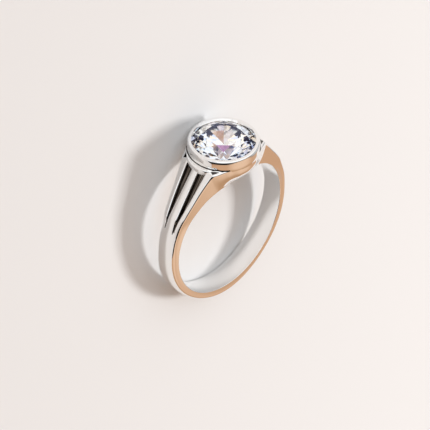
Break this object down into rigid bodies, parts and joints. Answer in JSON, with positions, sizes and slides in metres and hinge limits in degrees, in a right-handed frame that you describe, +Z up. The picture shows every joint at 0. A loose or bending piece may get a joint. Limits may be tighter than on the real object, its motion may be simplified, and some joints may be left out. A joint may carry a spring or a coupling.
{
  "type": "finger ring with bezel-set stone",
  "caption": "Polished silver finger ring with a round brilliant-cut stone in a bezel and grooved shoulders, resting on its side.",
  "frame": {"origin": "centre of the bounding box's underside, on the surface that the ring lies on", "axes": "+Z up from the surface. +Y runs across the ring from the bottom of its band towards its stone, level with the surface. +X runs across the ring from one shoulder to the other. The finger hole's axis lies in the YZ plane, 8 degrees from +Z."},
  "size_m": [0.0194, 0.0234, 0.0086],
  "materials": {
    "silver": "polished sterling silver with light wear",
    "stone": "clear, faceted and polished"
  },
  "bodies": {
    "root": {"silver_ring": "silver", "stone": "stone"}
  },
  "joints": []
}
